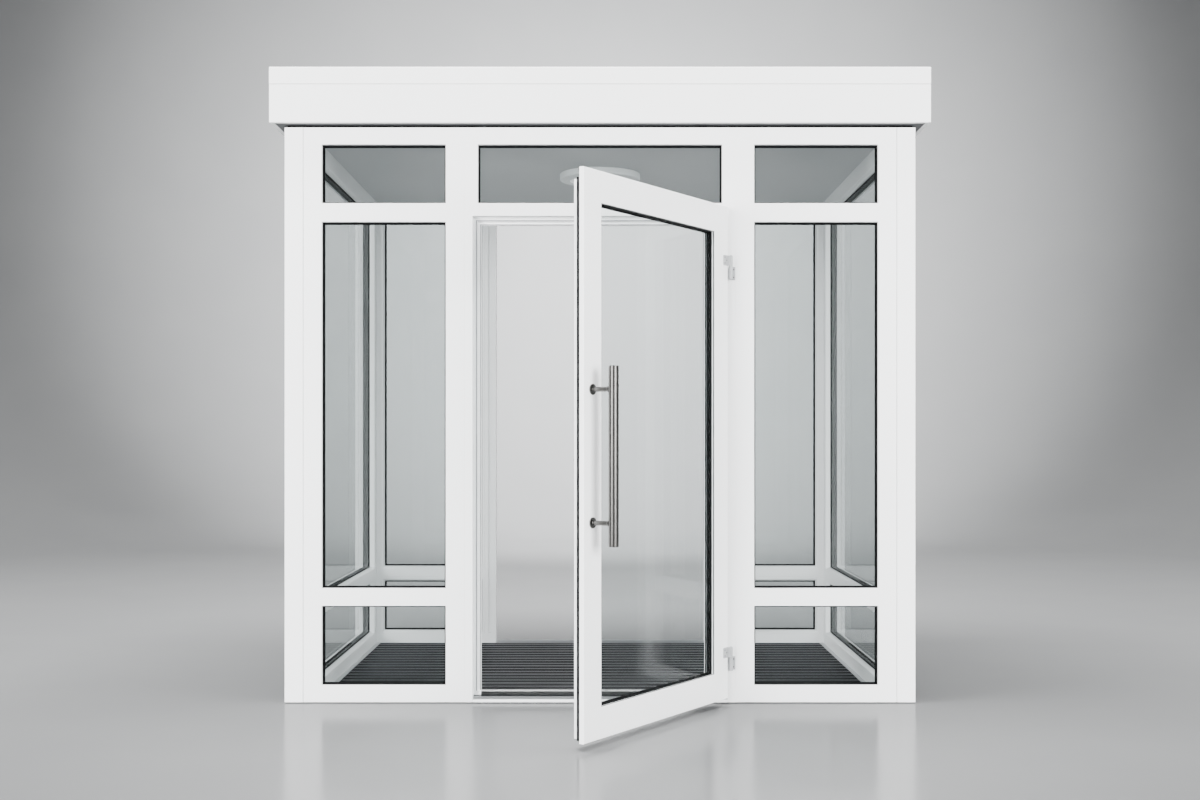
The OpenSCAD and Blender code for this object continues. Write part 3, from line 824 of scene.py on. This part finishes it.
# Nitrile rubber, moulded and ribbed: charcoal, matt, greyed a little by dust between the ribs
rubber = coated("ribbed_rubber", "#343536", "#222325", 0.75, 45, 1.2, 0.15, specular=0.25)
carriers = 60
pitch = (mat_high.y - mat_low.y) / carriers
ribs = 4                       # on each rubber strip
narrow, wide = 3.4, 5.5        # widths of the scrapers; every third scraper is wide
floor_z, top_z = mat_low.z, mat_high.z
groove_z, rib_z = top_z - 1.5, top_z - 0.2
strips, scrapers = [], []
for i in range(carriers):
    start = mat_low.y + pitch * i
    width = 0
    if i % 3 == 1:
        width = wide if i % 9 == 4 else narrow
        near, far = start + 1.0, start + 1.0 + width
        section = rounded([(near, floor_z, 0), (near, top_z, 0.6), (far, top_z, 0.6), (far, floor_z, 0)], 2)
        scrapers.append(bar(section, mat_low.x + 1.2, mat_high.x - 1.2, across))
    near = start + 1.4 + width
    far = start + pitch - 2.6
    corners = [(near, floor_z, 0), (near, top_z - 1.3, 0.4)]
    for k in range(ribs):
        a = near + 0.8 + (far - near - 1.6) * (k + 0.12) / ribs
        b = near + 0.8 + (far - near - 1.6) * (k + 0.88) / ribs
        corners += [(a, groove_z, 0), (a + 0.9, rib_z, 0.4), (b - 0.9, rib_z, 0.4), (b, groove_z, 0)]
    corners += [(far, top_z - 1.3, 0.4), (far, floor_z, 0)]
    strips.append(bar(rounded(corners, 1), mat_low.x + 1.5, mat_high.x - 1.5, across))
solid("entrance_mat_strips", strips, rubber, "enclosure", "mat", "entrance_mat")
solid("entrance_mat_scrapers", scrapers, anodised, "enclosure", "aluminium")

# ---------------------------------------------------------------- Door leaf
# One wide white uPVC leaf, mitred and welded, with a flange that laps the frame
# and a black seal in the groove behind it. It hangs 57 degrees open on its right.
door_open = math.radians(57)
hinge_x, hinge_y = 565.0, front_mm - 38.0


def in_leaf(u, depth, v):
    """A point of the closed leaf, its depth counted from the front wall's outer face, with the leaf open."""
    x, y = u - hinge_x, front_mm + depth - hinge_y
    return (hinge_x + x * math.cos(door_open) - y * math.sin(door_open),
            hinge_y + x * math.sin(door_open) + y * math.cos(door_open), v)


flange = (-562, 562, 27, 2150)
body = (-545, 545, 40, 2110)
daylight = (-442, 442, 147, 2030)
leaf_front, flange_back, leaf_back = -25, -5, 30
leaf_glass_at = (-7, 17)
glass_front, glass_back = leaf_glass_at
section = [(0, 0, flange_back, 1), (0, 0, leaf_front, 3), (2, 0, leaf_front, arris), (2, 0, glass_front, 0),
           (2, rebate, glass_front, 0), (2, rebate, leaf_back, 0.8), (1, 0, leaf_back, arris),
           (1, 0, 21, 0), (1, -2, 20, 0), (1, -2, 19, 0), (1, 0, 18, 0),
           (1, 0, 3, 1), (1, -7, 3, 0), (1, -7, flange_back, 0)]
solid("door_leaf_profile", [ring([flange, body, daylight], section, in_leaf)],
      upvc, "door_leaf", "pvc", "door_leaf_frame")

# A black lip seal just inside the daylight edge; the thin dark line it draws there is painted shade at the
# lip's arris
lip_front, lip_back = leaf_front + 2, leaf_front + 6.5
lip_line_painted_shade = ring([daylight, grown(daylight, -1.5)],
                [(0, 0.4, lip_back, 0), (0, 0.4, lip_front, 0), (1, 0, lip_front, 0.5), (1, 0, lip_back, 0.5)],
                in_leaf, 0)
seal_edge = (body[0] - 7.2, body[1] + 7.2, body[2] - 5.5, body[3] + 5.5)
seal_front, seal_back = -4.4, 13.5
groove_seal = ring([seal_edge, body, grown(body, -6)],
                   [(0, 0, seal_back, 2), (0, 0, seal_front, 1.5), (2, 0, -4.8, 0),
                    (2, 0, 2.8, 0), (1, 0, 2.8, 0), (1, 0, seal_back, 0)], in_leaf, 0)
leaf_gaskets = gasket_shapes(daylight, glass_front, glass_back, in_leaf)
solid("door_leaf_seals", [groove_seal, lip_line_painted_shade] + leaf_gaskets, epdm, "door_leaf", "seal")
solid("door_leaf_unit", [unit_shape(daylight, leaf_glass_at, in_leaf)],
      glass, "door_leaf", "glass", "door_leaf_glass")
solid("door_leaf_spacer", spacer_shapes(daylight, glass_front, glass_back - 6, in_leaf, 8),
      spacer_black, "door_leaf", "seal")
solid("door_leaf_bead_frame", bead_shapes(daylight, glass_back, leaf_back, in_leaf),
      upvc, "door_leaf", "pvc", "door_leaf_beads")

# ---------------------------------------------------------------- Hinges
# Two lift-off hinges of powder-coated steel. The lower half's plate is screwed to
# the jamb and carries the pin, and the upper half's flag is screwed to the leaf.
hinge_levels = (205, 1894)      # where the two halves of each hinge meet
barrel_radius = 8.0
pin_radius, pin_hole = 4, 4.05
lower_tall, upper_tall = 58, 44
plate_thick, flag_thick = 6, 4.5


def tube(section, turn, turns=40):
    """A closed section (radius, height) turned round an axis that it doesn't touch."""
    points = [turn(r * math.cos(2 * math.pi * i / turns), r * math.sin(2 * math.pi * i / turns), h)
              for r, h in section for i in range(turns)]
    faces = []
    for k in range(len(section)):
        following = (k + 1) % len(section)
        for i in range(turns):
            after = (i + 1) % turns
            faces.append((k * turns + i, k * turns + after, following * turns + after, following * turns + i))
    return points, faces


def screw_shapes(x, depth, z, turn, radius=3.2):
    """A countersunk screw head with a shallow recess, standing on a face that looks outwards."""
    def on_face(a, b, h):
        return turn(x + a, depth - h, z + b)
    return [lathe([(0, 0.5), (radius * 0.35, 0.5), (radius * 0.45, 1.1), (radius * 0.8, 1.0), (radius, 0.2),
                   (radius, -0.8), (0, -0.8)], on_face, 20)]


def pin_place(z):
    """Stands a turned shape on the pin's line, its heights counted from z."""
    def turn(x, y, h):
        return (hinge_x + x, hinge_y + y, z + h)
    return turn


def leaf_pin_place(z):
    """The same for a shape that turns with the leaf."""
    def turn(x, y, h):
        return in_leaf(hinge_x + x, hinge_y - front_mm + y, z + h)
    return turn


def on_leaf(u, v, depth):
    """Runs a section drawn on the leaf's face outwards."""
    return in_leaf(u, depth, v)


frame_half, leaf_half, screws_fixed, screws_leaf = [], [], [], []
for z in hinge_levels:
    barrel = [(0, -lower_tall), (barrel_radius - 1.2, -lower_tall), (barrel_radius, -lower_tall + 1.2),
              (barrel_radius, -0.8), (barrel_radius - 0.8, 0), (0, 0)]
    frame_half.append(lathe(barrel, pin_place(z), 40))
    pin = [(0, -5), (pin_radius, -5), (pin_radius, 44), (pin_radius - 0.8, 47), (0, 47)]
    frame_half.append(lathe(pin, pin_place(z), 32))
    plate_face = front_mm - plate_thick
    plate = rounded([(hinge_x + 2, hinge_y, 0), (hinge_x + 8, hinge_y, 2), (hinge_x + 8, plate_face, 2),
                     (hinge_x + 22, plate_face, 2), (hinge_x + 22, front_mm, 0), (hinge_x + 2, front_mm, 1)])
    frame_half.append(bar(plate, z - lower_tall + 0.5, z - 0.5, upright))
    for up in (-lower_tall + 12, -12):
        screws_fixed += screw_shapes(hinge_x + 15, -plate_thick, z + up, in_front_wall)

    sleeve = [(pin_hole, 0), (barrel_radius - 0.8, 0), (barrel_radius, 0.8),
              (barrel_radius, upper_tall - 1.2), (barrel_radius - 1.2, upper_tall), (pin_hole, upper_tall)]
    leaf_half.append(tube(sleeve, leaf_pin_place(z + 0.5)))
    flag_bottom, flag_top = z + 0.5, z + 0.5 + upper_tall
    flag = rounded([(hinge_x - 46, flag_bottom, 5), (hinge_x - 5, flag_bottom, 0),
                    (hinge_x - 5, flag_top, 0), (hinge_x - 46, flag_top, 5)], 6)
    leaf_half.append(bar(flag, leaf_front, leaf_front - flag_thick, on_leaf))
    knuckle = rounded([(hinge_x - 14, leaf_front - 4, 0), (hinge_x - 14, leaf_front - 9, 3),
                       (hinge_x - 4.5, leaf_front - 13, 0), (hinge_x - 4.5, leaf_front - 4, 0)])
    leaf_half.append(bar(knuckle, z + 0.8, z + 44.2, in_leaf))
    for along, up in ((-38, 10), (-38, 35), (-22, 22.5)):
        screws_leaf += screw_shapes(hinge_x + along, leaf_front - flag_thick, z + up, in_leaf)

# Steel, powder coated: pale silver grey, satin
hinge_grey = coated("powder_coat_silver", "#A4A6A8", "#9A9C9E", 0.35, 40, 2.2, 0.03)
solid("hinge_frame_halves_steel", frame_half, hinge_grey, "enclosure", "white_steel", "hinge_frame_halves")
solid("hinge_leaf_halves_steel", leaf_half, hinge_grey, "door_leaf", "white_steel", "hinge_leaf_halves")

# ---------------------------------------------------------------- Pull handle
# A long round bar of brushed stainless steel on two standoffs. Each standoff is
# screwed through the leaf's stile, and a rosette covers the fixing.
bar_radius, bar_length, bar_out = 19.0, 665.0, 94.0
handle_u, handle_z = -505.0, 1085.0      # the bar's middle on the leaf

# Stainless steel tube, brushed: warm grey metal with fine lines round the bar
stainless = brushed("stainless_brushed", "#757472", "#504F4E", 0.28, 0.5, (0.3, 0.3, 1))


def at_bar(x, y, h):
    """Stands a turned shape on the bar's line, its heights counted from the bar's middle."""
    return in_leaf(handle_u + x, leaf_front - bar_out + y, handle_z + h)


def standoff_place(up):
    """Stands a turned shape outwards from the leaf's face, at a height counted from the bar's middle."""
    def turn(x, y, h):
        return in_leaf(handle_u + x, leaf_front - h, handle_z + up + y)
    return turn


half = bar_length / 2
tube_end = [(bar_radius, half - 2.5), (bar_radius - 0.7, half - 0.7), (bar_radius - 2.5, half), (0, half)]
shapes = [lathe([(r, -h) for r, h in reversed(tube_end)] + tube_end, at_bar)]
standoff = [(0, 0), (20, 0), (20.5, 0.6), (20.5, 4.6), (19.6, 6), (11.5, 6), (10.5, 7.5), (9, 8.5),
            (9, 66), (9.8, 69), (11.0, 74), (11.0, 80), (0, 80)]
for up in (-247, 247):
    shapes.append(lathe(standoff, standoff_place(up), 48))
solid("pull_handle_bar", shapes, stainless, "door_leaf", "stainless", "pull_handle")

# ---------------------------------------------------------------- Lock
# A cylinder lock whose inner end has a round rose and a flat thumb turn. It is
# stainless steel, as the screws of the hinges are, and shows only from inside.
lock_z = 1070.0


def inward(x, y, h):
    """Stands a turned shape inwards from the leaf's inner face."""
    return in_leaf(handle_u + x, leaf_back + h, lock_z + y)


rose = [(0, 0), (16, 0), (16, 5), (14.5, 7), (10, 7), (8.5, 8), (8.5, 16), (7.8, 17), (0, 17)]
thumb = rounded([(-8.5, -2, 1.2), (8.5, -2, 1.2), (8.5, 2, 1.2), (-8.5, 2, 1.2)])
shapes = [lathe(rose, inward, 48), bar(thumb, 15, 24, inward)]
solid("lock_cylinder_turn", shapes, stainless, "door_leaf", "stainless", "lock_cylinder")
solid("hinge_screws_leaf", screws_leaf, stainless, "door_leaf", "stainless")
solid("hinge_screws_frame", screws_fixed, stainless, "enclosure", "stainless")

# ---------------------------------------------------------------- Shade inside
# Light linking keeps the two front softboxes' light off what stands inside
# the vestibule and off the floor; the fill lights are kept off the floor too.
shaded = bpy.data.collections.new("shaded_from_softboxes")
for name in ("side_frame_left_profile", "side_frame_right_profile", "rear_frame_left_profile",
             "rear_frame_right_profile", "rear_head_profile", "wall_glazing_beads", "entrance_mat_strips",
             "entrance_mat_scrapers", "mat_edge_angle", "floor_tray_sheet", "post_rear_left_profile",
             "post_rear_right_profile", "studio_floor"):
    shaded.objects.link(bpy.data.objects[name])
shaded_floor = bpy.data.collections.new("shaded_from_fills")
shaded_floor.objects.link(studio_floor)
for lights, flagged in ((("softbox_left", "softbox_right"), shaded),
                        (("fill_left", "fill_right"), shaded_floor)):
    for held in flagged.collection_objects:
        held.light_linking.link_state = "EXCLUDE"
    for name in lights:
        bpy.data.objects[name].light_linking.receiver_collection = flagged
